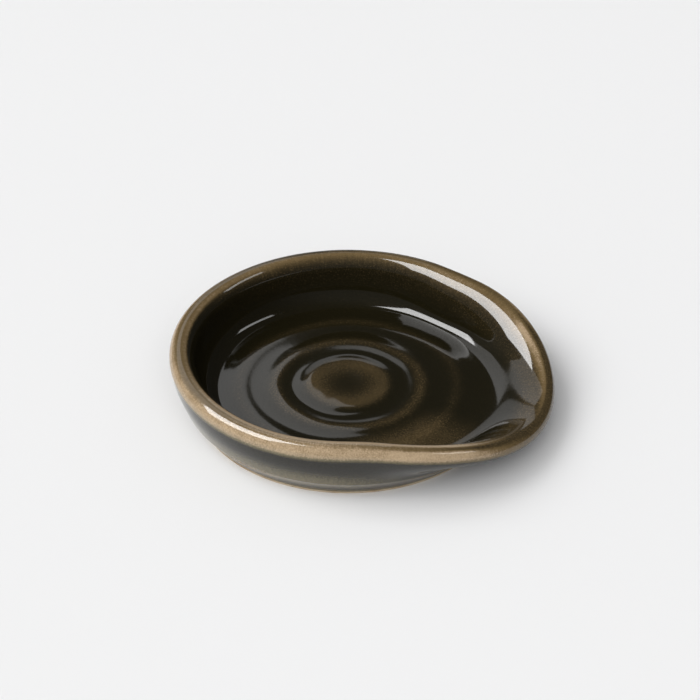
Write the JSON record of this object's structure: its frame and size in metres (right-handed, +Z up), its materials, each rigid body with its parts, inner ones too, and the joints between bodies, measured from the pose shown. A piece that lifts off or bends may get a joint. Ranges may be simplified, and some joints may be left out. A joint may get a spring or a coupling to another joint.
{
  "type": "spoon rest",
  "caption": "Round shallow glazed stoneware dish whose rolled rim is drawn out and down at one side into a lip, so that a cooking spoon lies in the dish with its handle over the lip.",
  "frame": {"origin": "middle of the object's box, on the table that the foot ring stands on", "axes": "+Z up, +X towards the lip, so the object is symmetric about the plane Y = 0"},
  "size_m": [0.1106, 0.102, 0.02],
  "materials": {
    "stoneware": "bare fired buff stoneware, matt and slightly gritty",
    "glaze": "glossy dark olive-brown glaze that breaks to tan where it runs thin over edges"
  },
  "bodies": {
    "root": {"clay_body": "stoneware", "glaze_coat": "glaze", "foot_recess_glaze": "glaze"}
  },
  "joints": []
}
